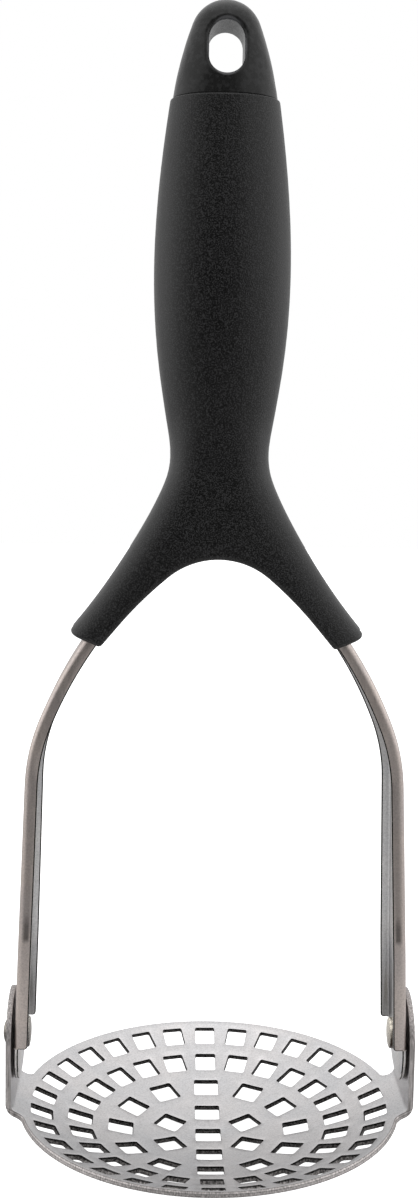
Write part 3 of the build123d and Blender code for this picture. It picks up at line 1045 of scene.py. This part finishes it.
# painted highlight on the wall of the hanging eye
paint_eye_highlight(cap_skin, (0.11, 0.11, 0.115))
dress("end_cap", cap_skin)
print("the cap is dressed in", cap_skin.name)

# %% [markdown]
# ## Studio
# The masher stands on a pale table top. To the camera the top glows white, as the light
# tables under makers' own pictures of steel tools do. The steel mirrors it as grey paper
# instead, which gets darker towards the camera, or the whole plate would wash out. The room
# is white all round but for two soft patches. Black plastic and steel show their shape by
# what they reflect: the dark patch, behind the camera, gives the grip its deep middle between
# two soft bright sides, and the dim one, behind the masher, holds back the glare on the plate.

# %% Table top
bpy.ops.mesh.primitive_plane_add(size=4.0, location=(0.0, 0.0, cad_low.z))
floor = bpy.context.object
floor.name = "floor"
white = (1.0, 1.0, 1.0, 1.0)
dark_in_front = ((-0.45, 0.2), (-0.15, 0.64))
paper, paper_shader = new_finish("paper", (0.62, 0.62, 0.62), 0.0, 0.9)
link(paper, tone_along(paper, "Y", dark_in_front), paper_shader.inputs["Base Color"])
glow = add_node(paper, "ShaderNodeLightPath")
paper_shader.inputs["Emission Color"].default_value = white
link(paper, glow.outputs["Is Camera Ray"], paper_shader.inputs["Emission Strength"])
floor.data.materials.append(paper)
floor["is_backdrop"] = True
print("the table top is", floor.dimensions.x, "m wide")

# %% Room
room = bpy.data.worlds.new("room")
room.use_nodes = True
bpy.context.scene.world = room
tree = room.node_tree


def room_node(kind, **settings):
    node = tree.nodes.new(kind)
    for key, value in settings.items():
        setattr(node, key, value)
    return node


direction = room_node("ShaderNodeTexCoord")


def patch(towards, inside, outside, level):
    """A round patch of the room that is only this bright, and fades out between two angles."""
    aligned = room_node("ShaderNodeVectorMath", operation="DOT_PRODUCT")
    aligned.inputs[1].default_value = towards
    fade = room_node("ShaderNodeMapRange", interpolation_type="SMOOTHSTEP")
    fade.inputs["From Min"].default_value = cos(outside)
    fade.inputs["From Max"].default_value = cos(inside)
    fade.inputs["To Min"].default_value = 1.0
    fade.inputs["To Max"].default_value = level
    tree.links.new(direction.outputs["Generated"], aligned.inputs[0])
    tree.links.new(aligned.outputs["Value"], fade.inputs["Value"])
    return fade.outputs["Result"]


behind_camera = Vector((-0.13, -0.98, 0.0)).normalized()
behind_masher = Vector((0.0, 1.0, 0.0))
strength = room_node("ShaderNodeMath", operation="MULTIPLY")
dark_patch = patch(behind_camera, radians(26.0), radians(46.0), 0.0)
dim_patch = patch(behind_masher, radians(12.0), radians(42.0), 0.62)
tree.links.new(dark_patch, strength.inputs[0])
tree.links.new(dim_patch, strength.inputs[1])
walls = tree.nodes["Background"]
walls.inputs["Color"].default_value = white
tree.links.new(strength.outputs["Value"], walls.inputs["Strength"])
print("the room has a dark patch and a dim one")

# %% Backdrop
backdrop = room_node("ShaderNodeBackground")
backdrop.inputs["Color"].default_value = white
sight = room_node("ShaderNodeLightPath")
chosen = room_node("ShaderNodeMixShader")
tree.links.new(sight.outputs["Is Camera Ray"], chosen.inputs["Fac"])
tree.links.new(walls.outputs["Background"], chosen.inputs[1])
tree.links.new(backdrop.outputs["Background"], chosen.inputs[2])
tree.links.new(chosen.outputs["Shader"], tree.nodes["World Output"].inputs["Surface"])
bpy.context.scene.view_settings.view_transform = "Standard"

# %% Lamps
def add_lamp(name, place, target, size, power):
    """A square lamp this many metres wide and watts strong, turned to its target."""
    bpy.ops.object.light_add(type="AREA", location=place)
    lamp = bpy.context.object
    lamp.name = name
    lamp.data.size = size
    lamp.data.energy = power
    aim = Vector(target) - Vector(place)
    lamp.rotation_euler = aim.to_track_quat("-Z", "Y").to_euler()


middle = (0.0, 0.0, 0.5 * cad_high.z)
add_lamp("lamp_left", (-0.7, 0.0, 0.3), middle, size=0.5, power=0.5)
add_lamp("lamp_right", (0.7, 0.0, 0.3), middle, size=0.5, power=0.5)
add_lamp("lamp_top", (0.0, 0.1, 0.9), middle, size=0.6, power=0.5)
print("three soft lamps point at", round(middle[2] / MM), "mm above the table")

# %% [markdown]
# ## Camera
# A view from the front, a little above the plate, so that the dish shows its holes. A
# lens of about 43 mm from a third of a metre gives the mild perspective of a table-top picture.

# %% Camera
yaw, pitch, roll = radians(-1.628), radians(-6.307), radians(0.918)
bpy.ops.object.camera_add(location=(-0.01151, -0.33819, 0.17151))
camera = bpy.context.object
camera.name = "camera"
aim = Euler((radians(90.0) + pitch, 0.0, yaw)).to_matrix() @ Matrix.Rotation(roll, 3, "Z")
camera.rotation_euler = aim.to_euler()
camera.data.lens = 43.16
camera.data.sensor_width = 36.0
camera.data.clip_start = 0.01
bpy.context.scene.camera = camera
print("the camera looks down by", round(-pitch * 180 / pi, 1), "degrees")

# %% [markdown]
# ## Finish
# The box of the finished masher is measured, as the imported one's was at the start.

# %% Finish
low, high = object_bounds()
